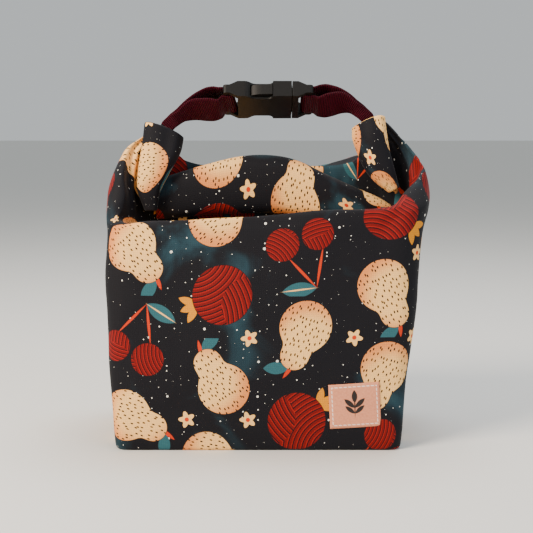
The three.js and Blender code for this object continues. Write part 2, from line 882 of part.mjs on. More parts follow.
const middleStations = rollStations(smoothRows(rollMiddleShares));
const leftStations = rollStations(leftEndShares);
const rightStations = rollStations(rightEndShares);
addPiece(bag, 'roll_middle', rollGeometry(middleStations), cloth(colours.print));
addPiece(bag, 'roll_left_end', rollGeometry(leftStations), cloth(colours.print));
addPiece(bag, 'roll_right_end', rollGeometry(rightStations), cloth(colours.print));
addPiece(bag, 'fabric_label', labelSolid(), cloth(colours.label));

const webbing = cloth(colours.webbing);
const leftLoop = loopFrames(leftStations, leftExitShift, 1, leftSag);
const rightLoop = loopFrames(rightStations, rightExitShift, -1, rightSag);
const leftTail = tailFrames(leftStations, leftExitShift);
const rightTail = tailFrames(rightStations, rightExitShift);
addPiece(bag, 'left_strap', bandGeometry(leftLoop), webbing);
addPiece(bag, 'right_strap', bandGeometry(rightLoop), webbing.clone());
addPiece(bag, 'left_strap_tail', bandGeometry(leftTail), webbing.clone());
addPiece(bag, 'right_strap_tail', bandGeometry(rightTail), webbing.clone());

const buckle = new THREE.Group();
buckle.position.set(handleX, handleY, handleHeight);
buckle.rotation.x = -handleTilt * degree;
addPiece(buckle, 'buckle_socket', geometryOf(socketSolid()), plastic());
addPiece(buckle, 'buckle_plug', geometryOf(plugSolid()), plastic());
addPiece(buckle, 'front_prong', geometryOf(prongSolid(-1)), plastic());
addPiece(buckle, 'rear_prong', geometryOf(prongSolid(1)), plastic());
bag.add(buckle);

const middle = new THREE.Box3().setFromObject(bag).getCenter(new THREE.Vector3());
bag.position.set(-middle.x, -middle.y, 0);

export default bag;
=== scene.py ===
import bmesh
import bpy
import math
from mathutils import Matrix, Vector, noise


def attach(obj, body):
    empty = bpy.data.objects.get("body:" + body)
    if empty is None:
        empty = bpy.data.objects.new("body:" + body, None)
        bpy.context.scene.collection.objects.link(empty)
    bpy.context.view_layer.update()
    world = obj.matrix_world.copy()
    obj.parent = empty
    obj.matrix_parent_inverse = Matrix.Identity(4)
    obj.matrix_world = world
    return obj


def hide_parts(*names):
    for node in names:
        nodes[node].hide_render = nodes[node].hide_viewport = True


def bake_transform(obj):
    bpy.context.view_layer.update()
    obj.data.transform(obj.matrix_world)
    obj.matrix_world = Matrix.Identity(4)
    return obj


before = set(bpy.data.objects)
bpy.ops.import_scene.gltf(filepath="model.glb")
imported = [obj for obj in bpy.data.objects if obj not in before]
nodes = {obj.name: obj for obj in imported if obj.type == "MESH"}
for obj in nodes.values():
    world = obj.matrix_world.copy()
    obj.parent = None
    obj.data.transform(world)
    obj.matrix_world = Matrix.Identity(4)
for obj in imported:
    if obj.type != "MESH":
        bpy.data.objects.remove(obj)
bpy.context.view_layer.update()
mm = 0.001
flatUnit = 100  # mm of cloth for 1 in its flat coordinates
cadMiddle = -5.2355  # the bag's own middle lies this far left of the frame's, in mm


def toFrame(point):
    return Vector(((point[0] + cadMiddle) * mm, point[1] * mm, point[2] * mm))


def mix(a, b, share):
    return a + (b - a) * share


def smooth(low, high, value):
    share = min(max((value - low) / (high - low), 0), 1)
    return share * share * (3 - 2 * share)


def between(span, value):
    # rises over the first two values of the span and falls over its last two
    return smooth(span[0], span[1], value) * (1 - smooth(span[2], span[3], value))


def linearColour(code):
    # sRGB hex to the linear values that Blender works in
    parts = [int(code[i:i + 2], 16) / 255 for i in (1, 3, 5)]
    return [p / 12.92 if p <= 0.04045 else ((p + 0.055) / 1.055) ** 2.4 for p in parts] + [1]


def addNode(tree, kind, inputs=(), **settings):
    # the kind may end in an operation; inputs go by name or number, or in order, and each is a
    # value, a node or one of its outputs
    kind, _, operation = kind.partition(" ")
    node = tree.nodes.new("ShaderNode" + kind)
    if operation:
        node.operation = operation
    for key, value in settings.items():
        setattr(node, key, value)
    for key, value in inputs.items() if isinstance(inputs, dict) else enumerate(inputs):
        if isinstance(value, bpy.types.Node):
            value = value.outputs[0]
        if isinstance(value, bpy.types.NodeSocket):
            tree.links.new(value, node.inputs[key])
        else:
            node.inputs[key].default_value = value
    return node


def startMaterial(name):
    material = bpy.data.materials.new(name)
    material.use_nodes = True
    material.node_tree.nodes.clear()
    return material, material.node_tree


def finishMaterial(material, inputs):
    # the shader with its values and links, and the output
    shader = addNode(material.node_tree, "BsdfPrincipled", inputs)
    addNode(material.node_tree, "OutputMaterial", {"Surface": shader})
    return material


def addObject(name, data):
    obj = bpy.data.objects.new(name, data)
    bpy.context.scene.collection.objects.link(obj)
    return obj


def buildMesh(name, points, faces, uvs=None):
    mesh = bpy.data.meshes.new(name)
    mesh.from_pydata([tuple(p) for p in points], [], faces)
    if uvs:
        layer = mesh.uv_layers.new(name="cloth")
        for loop in mesh.loops:
            layer.data[loop.index].uv = uvs[loop.vertex_index]
    mesh.polygons.foreach_set("use_smooth", [True] * len(mesh.polygons))
    return addObject(name, mesh)


def applyModifiers(obj):
    bpy.context.view_layer.update()
    graph = bpy.context.evaluated_depsgraph_get()
    mesh = bpy.data.meshes.new_from_object(obj.evaluated_get(graph))
    obj.modifiers.clear()
    obj.data = mesh


def subdivide(obj):
    level = obj.modifiers.new("soft", "SUBSURF")
    level.levels = level.render_levels = 1
    applyModifiers(obj)


def thicken(obj, thickness):
    shell = obj.modifiers.new("thickness", "SOLIDIFY")
    shell.thickness = thickness * mm
    shell.offset = -1
    applyModifiers(obj)


def gridFaces(columns, rows):
    # quads over points stored column by column
    corners = [i * rows + j for i in range(columns - 1) for j in range(rows - 1)]
    return [(a, a + rows, a + rows + 1, a + 1) for a in corners]


def tubeFaces(rings, count):
    # quads round a tube whose points are stored ring by ring
    pairs = [(s * count + k, s * count + (k + 1) % count) for s in range(rings - 1) for k in range(count)]
    return [(a, b, b + count, a + count) for a, b in pairs]


print("stage: camera")
cameraSizes = {
    "place": (0.000613, -0.8565, 0.21431),  # metres
    "pitch": 6.267,  # degrees below level
    "lens": 80.03,
    "sensor": 36,
}
cameraData = bpy.data.cameras.new("camera")
cameraData.lens = cameraSizes["lens"]
cameraData.sensor_width = cameraSizes["sensor"]
camera = addObject("camera", cameraData)
camera.location = cameraSizes["place"]
camera.rotation_euler = (math.radians(90 - cameraSizes["pitch"]), 0, 0)
bpy.context.scene.camera = camera


print("stage: light and floor")
studio = {
    "floorColour": "#d9d8d4",
    "floorRoughness": 0.7,
    "worldColour": "#dfe4e6",
    "worldStrength": 0.75,
    "floorReach": 60,
    "lamps": [  # name, place, aimed at, size, watts, colour
        ("window", (-1.0, -0.85, 1.0), (0, 0, 0.12), 0.7, 46, "#ffeeda"),
        ("fill", (1.1, -1.0, 0.6), (0, 0, 0.12), 1.0, 7, "#eef4ff"),
        ("top", (0.15, 0.35, 1.4), (0, 0, 0.1), 0.9, 16, "#ffffff"),
    ],
}


def makeStudio():
    world = bpy.data.worlds.new("studio")
    bpy.context.scene.world = world
    world.use_nodes = True
    background = world.node_tree.nodes["Background"]
    background.inputs[0].default_value = linearColour(studio["worldColour"])
    background.inputs[1].default_value = studio["worldStrength"]
    size = studio["floorReach"]
    corners = [(-size, -size, 0), (size, -size, 0), (size, size, 0), (-size, size, 0)]
    floor = buildMesh("floor", corners, [(0, 1, 2, 3)])
    material = startMaterial("floor, matte paint")[0]
    colour = linearColour(studio["floorColour"])
    floor.data.materials.append(
        finishMaterial(material, {"Base Color": colour, "Roughness": studio["floorRoughness"]}))
    for name, place, target, lampSize, watts, colour in studio["lamps"]:
        lamp = bpy.data.lights.new(name, "AREA")
        lamp.shape = "DISK"
        lamp.size = lampSize
        lamp.energy = watts
        lamp.color = linearColour(colour)[:3]
        obj = addObject(name, lamp)
        obj.location = place
        aim = Vector(target) - Vector(place)
        obj.rotation_euler = aim.to_track_quat("-Z", "Y").to_euler()


makeStudio()


print("stage: body of the bag")
# Millimetres. The places and shares are those of the solids.
body = {
    "baseWidth": 197, "baseDepth": 125, "shoulderWidth": 213.4, "shoulderDepth": 125,
    "shoulderHeight": 150, "baseCorner": 8, "shoulderCorner": 15, "sideBulge": 5.8,
    "panelBulge": 4.5, "peakHeight": 227.5, "bottomRound": 2, "topLean": 8.4,
    "leanHeight": 190, "seamHalf": 0.03, "seamEnd": 1.6, "seamDepth": 0.9, "columns": 128,
    "softRipple": 1.5, "softReach": 42, "fineRipple": 0.32, "fineReach": 15,
    "leftDrop": 4.5,  # how far the left peak stays below the mouth of the roll's left end
    "leftSwell": 5, "rightSwell": 8.5, "swellSpan": (0.6, 0.85), "swellHeight": 0.6,
    "cornerCrease": 2.5, "cornerSpan": (0.42, 0.54, 0.66, 0.8),
    "frontFold": 0.13, "sideFold": 0.06, "backFold": 0.3, "foldSpan": (0.45, 0.6, 0.9, 1),
    "leftPleat": 2.6, "rightPleat": 1.2, "pleatSpan": (0.68, 0.8, 0.93, 1), "pleatWay": (-0.55, -0.8, 0.25),
    "frontSeed": 3, "backSeed": 17,
}
# The tuck takes the lining's fold inside the outer cloth's. The lining ends below the roll, and its
# halves lack the base that those of the solids have. The closed bag shows neither place.
layers = {
    "outer": {"slot": "printed_cotton", "thickness": 0.8, "inset": 0, "tuck": 0, "knotsOut": 0},
    "lining": {"slot": "lining_cotton", "thickness": 0.5, "inset": 1.3, "tuck": 11, "knotsOut": 3},
}
# Rows of place along the half, then x, y and z shares; the rims differ left and right.
frontRim = {
    -1: [(0, 0, 0.96, 0.714), (0.25, 0.389, 0.968, 0.703), (0.5, 0.775, 0.93, 0.693),
         (0.58, 0.9, 0.83, 0.688), (0.64, 0.955, 0.72, 0.7), (0.7, 0.935, 0.6, 0.72),
         (0.75, 0.93, 0.52, 0.77), (0.81, 0.965, 0.432, 0.834), (0.92, 0.93, 0.176, 0.916),
         (1, 0.756, 0.02, 1)],
    1: [(0, 0, 0.96, 0.714), (0.25, 0.389, 0.968, 0.727), (0.5, 0.785, 0.93, 0.739),
        (0.615, 0.875, 0.75, 0.779), (0.81, 1.0, 0.432, 0.846), (0.92, 0.92, 0.176, 0.912),
        (1, 0.756, 0.02, 1)],
}
frontValley = {
    -1: [(0, 0, 0.04, 0.642), (0.25, 0.356, 0.04, 0.638), (0.5, 0.694, 0.042, 0.632),
         (0.615, 0.79, 0.06, 0.64), (0.81, 0.86, 0.13, 0.76), (0.92, 0.834, 0.09, 0.885),
         (1, 0.712, 0.02, 0.971)],
    1: [(0, 0, 0.04, 0.642), (0.25, 0.356, 0.04, 0.646), (0.5, 0.694, 0.042, 0.65),
        (0.615, 0.79, 0.06, 0.67), (0.81, 0.885, 0.13, 0.74), (0.92, 0.834, 0.09, 0.885),
        (1, 0.712, 0.02, 0.971)],
}
frontRoot = [
    (0, 0, 0.033, 0.848), (0.3, 0.431, 0.033, 0.851), (0.42, 0.562, 0.033, 0.864),
    (0.52, 0.64, 0.033, 0.885), (0.6, 0.72, 0.033, 0.835), (0.68, 0.765, 0.05, 0.775),
    (0.78, 0.8, 0.05, 0.795), (0.86, 0.785, 0.045, 0.85), (0.93, 0.745, 0.035, 0.915),
    (1, 0.661, 0.02, 0.987),
]
backRim = {
    -1: [(0, 0, 0.96, 0.835), (0.25, 0.389, 0.968, 0.838), (0.5, 0.778, 0.912, 0.836),
         (0.615, 0.89, 0.736, 0.84), (0.81, 0.95, 0.432, 0.866), (0.92, 0.89, 0.176, 0.923),
         (1, 0.756, 0.02, 1)],
    1: [(0, 0, 0.96, 0.835), (0.25, 0.389, 0.968, 0.855), (0.5, 0.76, 0.912, 0.918),
        (0.615, 0.85, 0.736, 0.92), (0.81, 0.92, 0.432, 0.92), (0.92, 0.88, 0.176, 0.945),
        (1, 0.756, 0.02, 1)],
}
backValley = [
    (0, 0, 0.448, 0.822), (0.25, 0.375, 0.448, 0.822), (0.5, 0.731, 0.432, 0.824),
    (0.615, 0.825, 0.32, 0.835), (0.81, 0.862, 0.192, 0.87), (0.92, 0.825, 0.096, 0.919),
    (1, 0.712, 0.02, 0.971),
]
backRoot = [
    (0, 0, 0.033, 0.848), (0.3, 0.431, 0.033, 0.851), (0.42, 0.562, 0.033, 0.864),
    (0.54, 0.656, 0.033, 0.885), (0.7, 0.74, 0.033, 0.89), (0.85, 0.765, 0.033, 0.9),
    (0.93, 0.735, 0.033, 0.93), (1, 0.661, 0.033, 0.985),
]


def valueAt(rows, column, place):
    # a smooth value between the rows of a table whose first column is the place
    last = len(rows) - 1
    i = 0
    while i < last - 1 and rows[i + 1][0] < place:
        i += 1

    def slope(k):
        before, after = rows[max(k - 1, 0)], rows[min(k + 1, last)]
        return (after[column] - before[column]) / (after[0] - before[0])

    span = rows[i + 1][0] - rows[i][0]
    t = (place - rows[i][0]) / span
    rest = 1 - t
    return (rest * rest * (1 + 2 * t) * rows[i][column] + t * t * (3 - 2 * t) * rows[i + 1][column]
            + span * t * rest * (rest * slope(i) - t * slope(i + 1)))


def leanAt(z):
    share = min(z, body["leanHeight"]) / body["leanHeight"]
    return body["topLean"] * share * share


def sign(value):
    return (value > 0) - (value < 0)


def tablePoint(rows, place, side):
    around = abs(place)
    z = valueAt(rows, 3, around) * body["peakHeight"]
    if place < 0:
        z -= body["leftDrop"] * smooth(0.9, 1, around)
    x = valueAt(rows, 1, around) * body["shoulderWidth"] / 2 * sign(place) + leanAt(z)
    return Vector((x, valueAt(rows, 2, around) * body["shoulderDepth"] / 2 * side, z))


def ringPoint(place, side, z, inset):
    # a point of the soft rounded rectangle that the body has at height z
    up = min(z / body["shoulderHeight"], 1)
    width = mix(body["baseWidth"] / 2, body["shoulderWidth"] / 2, math.sin(up * math.pi / 2))
    depth = mix(body["baseDepth"] / 2, body["shoulderDepth"] / 2, up)
    radius = mix(body["baseCorner"], body["shoulderCorner"], up)
    front, flank = width - radius, depth - radius
    total = front + radius * math.pi / 2 + flank
    distance = abs(place) * total
    corner = min(max((distance - front) / radius, 0), math.pi / 2)
    along = max(distance - front - radius * math.pi / 2, 0)
    reach = radius - inset
    x = min(distance, front) + reach * math.sin(corner)
    y = flank - along + reach * math.cos(corner)
    swell = math.sin(up * math.pi * 0.9)
    y += body["panelBulge"] * swell * math.cos(min(x / width, 1) * math.pi / 2)
    x += body["sideBulge"] * up * up * math.cos(min(max(y, 0) / depth, 1) * math.pi / 2)
    return Vector((x * sign(place) + leanAt(z), y * side, z))


# Shares of the way: up the wall, from the rim down to the valley, and from there to the roll.
wallShares, slopeShares, rootShares = (0.03, 0.2, 0.4, 0.6, 0.8, 1), (0.32, 0.5, 0.68, 0.84), (0.25, 0.6)


def columnKnots(place, side):
    # the knots of one column of cloth, from the base up the wall, over the rim and into the valley
    front = side < 0
    points = [
        ringPoint(place, side, 0, body["bottomRound"]),
        ringPoint(place, side, body["bottomRound"] / 2, body["bottomRound"] / 4),
    ]
    for share in wallShares:
        points.append(ringPoint(place, side, share * body["shoulderHeight"], 0))
    shoulder = points[-1]
    around, half, hand = abs(place), 1 if place > 0 else -1, "right" if place > 0 else "left"
    rim = tablePoint((frontRim if front else backRim)[half], place, side)
    valley = tablePoint(frontValley[half] if front else backValley, place, side)
    root = tablePoint(frontRoot if front else backRoot, place, side)
    swell = body[hand + "Swell"] * smooth(*body["swellSpan"], around) * half
    pull = Vector((shoulder.x + swell, shoulder.y, mix(shoulder.z, rim.z, body["swellHeight"])))
    weight = 1 + (body["cornerCrease"] * between(body["cornerSpan"], around) if front else 0)

    def wall(t):
        ends = shoulder * (1 - t) ** 2 + rim * t * t
        return (ends + pull * (2 * weight * t * (1 - t))) / (1 + 2 * (weight - 1) * t * (1 - t))

    def rounded(before, peak, after):
        return (before + after) / 4 + peak / 2

    soft = body["backFold"]
    if front:
        soft = mix(body["frontFold"], body["sideFold"], between(body["foldSpan"], around))
    beforeRim, afterRim = wall(1 - soft), rim.lerp(valley, soft)
    slope = [rim.lerp(valley, share) for share in slopeShares]
    rise = [valley.lerp(root, share) for share in rootShares]
    pleat = body[hand + "Pleat"] * between(body["pleatSpan"], around) if front else 0
    outward = Vector(body["pleatWay"]) * pleat
    outward.x *= half
    points += [
        wall(0.25), wall(0.5), beforeRim, rounded(beforeRim, rim, afterRim), afterRim,
        slope[0] - outward * 0.5, slope[1] + outward, slope[2] - outward * 0.5, slope[3],
        rounded(slope[3], valley, rise[0]), rise[0], rise[1], root,
    ]
    return points


stepsPerKnot = [1, 2, 4, 5, 5, 5, 5, 3, 3, 3, 3, 3, 3, 3, 3, 2, 3, 3, 3, 3]
rimRow, seamRow = sum(stepsPerKnot[:9]), sum(stepsPerKnot[:11])  # before the rim, and past it
# How far each knot near the rim goes along with the lining's tuck.
tuckShares = ((9, 0.1), (10, 1), (11, 1), (12, 1), (13, 0.9), (14, 0.6), (15, 0.3), (16, 0.15))
mostTuck = 0.85  # of a knot's way to the inside
creaseSpan = (-0.2, 0.3, 0.6, 1.2)  # of a crease's length
# Creases of the front panel: from x, z to x, z, half width and depth.
creases = [
    (-104, 172, -78, 140, 6, 1.6), (-98, 150, -92, 95, 7, 1.3), (103, 176, 80, 146, 6, 1.7),
    (108, 150, 99, 100, 7, 1.3), (-60, 163, 30, 158, 8, 0.8), (96, 60, 88, 12, 7, 1.0),
    (-95, 70, -88, 10, 7, 1.1), (10, 44, 60, 30, 10, 0.8), (-70, 26, -10, 36, 9, 0.7),
]


def weighed(a, b, low, high, at):
    return a * ((high - at) / (high - low)) + b * ((at - low) / (high - low))


def throughKnots(knots, steps):
    # a centripetal Catmull-Rom curve through the knots
    ends = [knots[0] * 2 - knots[1]] + knots + [knots[-1] * 2 - knots[-2]]
    points = [knots[0]]
    for k in range(len(knots) - 1):
        p = ends[k:k + 4]
        t = [0]
        for a, b in zip(p, p[1:]):
            t.append(t[-1] + max((b - a).length, 0.02) ** 0.5)
        for step in range(1, steps[k] + 1):
            at = mix(t[1], t[2], step / steps[k])
            first = [weighed(p[i], p[i + 1], t[i], t[i + 1], at) for i in range(3)]
            second = [weighed(first[i], first[i + 1], t[i], t[i + 2], at) for i in range(2)]
            points.append(weighed(second[0], second[1], t[1], t[2], at))
    return points


def halfPerimeter():
    straight = body["shoulderWidth"] / 2 + body["shoulderDepth"] / 2 - 2 * body["shoulderCorner"]
    return straight + body["shoulderCorner"] * math.pi / 2


def clothGrid(side, tuck):
    # columns of points and their places on the flat cloth, in mm
    grid, flat = [], []
    for i in range(body["columns"] + 1):
        place = (2 * i / body["columns"] - 1) * -side
        knots = columnKnots(place, side)
        inside = (knots[9] + knots[15]) / 2
        for k, share in tuckShares:
            reach = tuck * share / max((knots[k] - inside).length, 0.1)
            knots[k] = knots[k].lerp(inside, min(reach, mostTuck))
        column = throughKnots(knots, stepsPerKnot)
        if i in (0, body["columns"]):
            for j, point in enumerate(column):
                point.y = side * mix(body["seamHalf"], body["seamEnd"], smooth(seamRow - 3, seamRow + 3, j))
        length, cut = 0, []
        for j, point in enumerate(column):
            length += (point - column[j - 1]).length if j else 0
            cut.append((place * halfPerimeter() * -side, length + body["baseDepth"] / 2))
        grid.append(column)
        flat.append(cut)
    return grid, flat


def creased(here):
    # how deep the creases of the front panel go at a point
    depth = 0
    for x1, z1, x2, z2, halfWidth, deep in creases:
        start, way = Vector((x1, z1)), Vector((x2 - x1, z2 - z1))
        reach = Vector((here.x, here.z)) - start
        along = reach.dot(way) / way.length_squared
        away = (reach - way * along).length / halfWidth
        depth += deep * math.exp(-away * away) * between(creaseSpan, along)
    return depth


def rippleAt(here, side):
    seed = body["frontSeed"] if side < 0 else body["backSeed"]
    soft = body["softRipple"] * noise.noise(here / body["softReach"] + Vector((seed, 0, 0)))
    return soft + body["fineRipple"] * noise.noise(here / body["fineReach"] + Vector((0, seed, 0)))


def rippled(grid, side, inset):
    # the cloth's small hollows and swells along its normals, less the lining's inset
    columns, rows = len(grid), len(grid[0])
    seamCalm, baseCalm, rootCalm = 5, 12, 6  # rows over which the ripples fade in
    moved = []
    for i in range(columns):
        column = []
        for j in range(rows):
            here = grid[i][j]
            across = grid[min(i + 1, columns - 1)][j] - grid[max(i - 1, 0)][j]
            rise = grid[i][min(j + 1, rows - 1)] - grid[i][max(j - 1, 0)]
            normal = across.cross(rise)
            normal = normal.normalized() if normal.length > 1e-6 else Vector((0, 0, 1))
            fromSeam = min(i, columns - 1 - i)
            free = smooth(0, seamCalm, fromSeam) * smooth(1, baseCalm, j)
            free *= smooth(0, rootCalm, rows - 1 - j)
            push = rippleAt(here, side)
            if side < 0 and j < rimRow + 4:
                push -= creased(here) * (1 - smooth(rimRow - 2, rimRow + 3, j))
            groove = body["seamDepth"] * max(1 - fromSeam / 2, 0) ** 2 * (1 - smooth(rimRow, rimRow + 8, j))
            column.append(here + normal * (push * free - inset - groove))
        moved.append(column)
    return moved


def makeClothHalf(name, node, side, layer):
    grid, flat = clothGrid(side, layer["tuck"])
    grid = rippled(grid, side, layer["inset"])
    rows = len(grid[0]) - sum(stepsPerKnot[len(stepsPerKnot) - layer["knotsOut"]:])
    grid = [column[:rows] for column in grid]
    flat = [column[:rows] for column in flat]
    points = [toFrame(p) for column in grid for p in column]
    uvs = [(u / flatUnit, v / flatUnit) for column in flat for u, v in column]
    obj = buildMesh(name, points, gridFaces(len(grid), rows), uvs)
    subdivide(obj)
    if layer is layers["outer"]:
        addBase(obj)
    thicken(obj, layer["thickness"])
    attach(obj, "bag")
    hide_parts(node)
    return obj


def addBase(obj):
    # closes an outer half from its bottom edge to the seam under the middle
    work = bmesh.new()
    work.from_mesh(obj.data)
    layer = work.loops.layers.uv["cloth"]
    edges = [e for e in work.edges if e.is_boundary and max(v.co.z for v in e.verts) < 0.3 * mm]
    made = bmesh.ops.contextual_create(work, geom=edges)["faces"]
    base = made[0]
    base.normal_update()
    if base.normal.z > 0:
        base.normal_flip()
    for loop in base.loops:
        loop[layer].uv = (loop.vert.co.x / mm / flatUnit, abs(loop.vert.co.y) / mm / flatUnit)
    bmesh.ops.triangulate(work, faces=made)
    for face in work.faces:
        face.smooth = True
    work.to_mesh(obj.data)
    work.free()


outerFront = makeClothHalf("outerCloth_front", "outer_front", -1, layers["outer"])
outerBack = makeClothHalf("outerCloth_back", "outer_back", 1, layers["outer"])
liningFront = makeClothHalf("liningCloth_front", "lining_front", -1, layers["lining"])
liningBack = makeClothHalf("liningCloth_back", "lining_back", 1, layers["lining"])


print("stage: roll")
roll = {
    "width": 33, "sheet": 1.2, "space": 0.4, "turns": 2, "core": 3.8, "middleY": -8.3, "belly": 0.35,
    "bend": 8, "halves": 5,  # points on each half turn, and half turns
    "mouthRound": 2.4, "mouthStep": 2.2, "mouthWave": 0.7, "mouthWaves": 11,
    "lobeDrop": 0.8, "lobeGroove": 2.2, "lobeReach": 0.14, "groovePlace": 0.33, "grooveWidth": 0.16,
    # shares across the roll and then along it, over which these come in
    "dropAcross": (0.15, 0.55), "reachAcross": (0.2, 0.8),
    "grooveSpan": (0.3, 0.9), "reachSpan": (0.5, 0.9), "mouthSpan": (0.72, 1),
}
roll["pitch"] = roll["sheet"] + roll["space"]
roll["start"] = (roll["core"] + roll["sheet"]) / 2
roll["front"] = roll["start"] + roll["turns"] * roll["pitch"] + roll["sheet"] / 2
roll["thickness"] = 2 * roll["front"] - roll["pitch"] / 2
rollMiddleRows = [
    (-0.684, 0.743, 0, 0.848, 0.9, 180), (-0.562, 0.754, 0, 0.97, 1, 180),
    (-0.375, 0.771, 0, 1.091, 1, 180), (-0.141, 0.787, 0, 1.242, 1, 180),
    (0.056, 0.791, 0, 1.273, 1, 180), (0.253, 0.782, 0, 1.182, 1, 180),
    (0.469, 0.752, 0, 0.939, 1, 180), (0.675, 0.725, 0, 0.727, 0.9, 180),
    (0.806, 0.716, 0, 0.485, 0.7, 180), (0.9, 0.71, 0, 0.2, 0.4, 180),
]
leftEndRows = [
    (-0.7105, 0.713, 1.025, 0.273, 0.6, 92), (-0.7245, 0.775, 0.966, 0.5, 0.8, 96),
    (-0.693, 0.8373, 0.737, 0.68, 0.95, 102), (-0.656, 0.8997, 0.441, 0.8, 1, 105),
    (-0.6285, 0.976, 0.102, 0.85, 1, 108),
]
rightEndRows = [
    (0.9, 0.776, 0.771, 0.26, 0.6, 62), (0.82, 0.83, 0.72, 0.56, 0.8, 66),
    (0.766, 0.89, 0.534, 0.69, 0.95, 72), (0.741, 0.9445, 0.398, 0.73, 1, 72),
    (0.728, 0.998, 0.102, 0.72, 1, 70),
]


def stationAt(rows, place):
    # centre, flat width, thickness share and lean at a place from 0 to 1 along the roll
    numbered = [(i / (len(rows) - 1),) + tuple(row) for i, row in enumerate(rows)]
    x, z, forward, width, thick, lean = [valueAt(numbered, k, place) for k in range(1, 7)]
    centre = Vector((x * body["shoulderWidth"] / 2, roll["middleY"] - forward * roll["thickness"],
                     z * body["peakHeight"]))
    return centre, width * roll["width"], thick, math.radians(lean)


def flatWay(lean):
    return Vector((math.sin(lean), 0, math.cos(lean)))


def rollWay(lean):
    return Vector((-math.cos(lean), 0, math.sin(lean)))


def spiralOutline(mirror):
    # the rolled cloth seen at its end: round turns joined by flats, with its thickness
    halfFlat = roll["width"] / 2 - roll["front"]
    bend, halves = roll["bend"], roll["halves"]
    line = []
    for half in range(halves):
        for step in range(bend + 1):
            turned = (half + step / bend) * math.pi
            radius = roll["start"] + roll["pitch"] * turned / (2 * math.pi)
            line.append((-halfFlat if half % 2 else halfFlat, turned - math.pi / 2, radius))
        if half < halves - 1:
            for share in (0.5, 0, -0.5):
                side = -1 if half % 2 else 1
                line.append((side * share * halfFlat, (half + 0.5) * math.pi,
                             roll["start"] + roll["pitch"] * (half + 1) / 2))
    # each point: across the width, out of the flat side, and how far out in the turns
    rows = []
    for sideways in (roll["sheet"] / 2, -roll["sheet"] / 2):
        row = []
        for shift, angle, radius in line:
            layer = (radius - roll["start"]) / (line[-1][2] - roll["start"])
            w = shift + (radius + sideways) * math.cos(angle)
            d = (radius + sideways) * math.sin(angle)
            d *= 1 + roll["belly"] * (1 - min(abs(w) / (roll["width"] / 2), 1) ** 2)
            row.append((-w if mirror else w, d, layer))
        rows.append(row)
    if mirror:
        rows.reverse()
    return rows[0] + rows[1][::-1]


def mouthLift(across, layer):
    # an open end of the roll: rounded at its sides, with its inner turns and its lesser lobe set back
    rounding = roll["mouthRound"] * min(abs(across), 1) ** 4
    rounding += roll["lobeDrop"] * smooth(*roll["dropAcross"], across)
    wave = roll["mouthWave"] * math.sin(layer * roll["mouthWaves"])
    return wave - rounding - roll["mouthStep"] * (1 - layer)


def makeRoll(name, node, rows, steps, uvShift, lobeSide=0):
    outline = spiralOutline(not lobeSide)
    count = len(outline)
    ringLength = [0]
    for a, b in zip(outline, outline[1:]):
        ringLength.append(ringLength[-1] + math.dist(a[:2], b[:2]))
    points, uvs, travelled, before = [], [], 0, None
    for s in range(steps + 1):
        along = s / steps
        centre, width, thick, lean = stationAt(rows, along)
        travelled += (centre - before).length if before else 0
        before = centre
        for k, (w, d, layer) in enumerate(outline):
            across = lobeSide * 2 * w / roll["width"]
            if lobeSide and d < 0:
                groove = math.exp(-((across - roll["groovePlace"]) / roll["grooveWidth"]) ** 2)
                d += roll["lobeGroove"] * groove * smooth(*roll["grooveSpan"], along) * layer
            reach = roll["lobeReach"] * smooth(*roll["reachAcross"], across)
            w *= 1 + reach * smooth(*roll["reachSpan"], along)
            p = centre + flatWay(lean) * (w * width / roll["width"]) + Vector((0, d * thick, 0))
            if lobeSide:
                p += rollWay(lean) * (mouthLift(across, layer) * smooth(*roll["mouthSpan"], along))
            points.append(toFrame(p))
            uvs.append(((uvShift[0] + travelled) / flatUnit, (uvShift[1] + ringLength[k]) / flatUnit))
    faces = tubeFaces(steps + 1, count)
    half = count // 2
    for k in range(half - 1):
        first = (k, count - 1 - k, count - 2 - k, k + 1)
        faces.append(first)
        faces.append(tuple(steps * count + v for v in reversed(first)))
    obj = buildMesh(name, points, faces, uvs)
    subdivide(obj)
    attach(obj, "bag")
    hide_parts(node)
    share = sum(stationAt(rows, s / steps)[1] for s in range(steps + 1)) / (steps + 1) / roll["width"]
    return obj


rollMiddle = makeRoll("rolledMouth_middle", "roll_middle", rollMiddleRows, 48, (40, 300))
rollLeft = makeRoll("rolledMouth_leftEnd", "roll_left_end", leftEndRows, 24, (0, 20), 1)
rollRight = makeRoll("rolledMouth_rightEnd", "roll_right_end", rightEndRows, 24, (150, 70), -1)


print("stage: webbing")
handle = {
    "x": 7, "y": -9, "height": 240, "tilt": 27, "width": 25, "thickness": 1.4,
    "gathered": 9.6, "exitDepth": 2.4, "exitTurn": 0.6, "barPull": 20, "webbingTilt": 41,
    "halfLength": 31.5, "barLength": 4.5, "barThickness": 4.8, "clearance": 0.3, "selvedge": 0.6,
    "left": {"shift": 2.5, "sag": 5, "pull": 11, "slack": 1.4, "hang": 1.8},
    "right": {"shift": 0, "sag": 0.5, "pull": 13, "slack": 1.0, "hang": 1.2},
    "steps": 44, "bendSteps": 12, "bandColumns": 12,
    # shares of the way from the roll to the buckle
    "tiltSpan": (0.8, 1), "levelSpan": (0.04, 0.34), "widthSpan": (0.1, 0.7), "partSpan": (0.45, 1),
    "slackSpan": (0.55, 0.88, 0.92, 1), "hangSpan": (0.5, 0.84, 0.93, 1),
}


def bezier(a, b, c, d, t):
    # the place on the curve and the way it goes
    rest = 1 - t
    place = a * rest ** 3 + b * (3 * rest * rest * t) + c * (3 * rest * t * t) + d * t ** 3
    way = (b - a) * (3 * rest * rest) + (c - b) * (6 * rest * t) + (d - c) * (3 * t * t)
    return place, way.normalized()


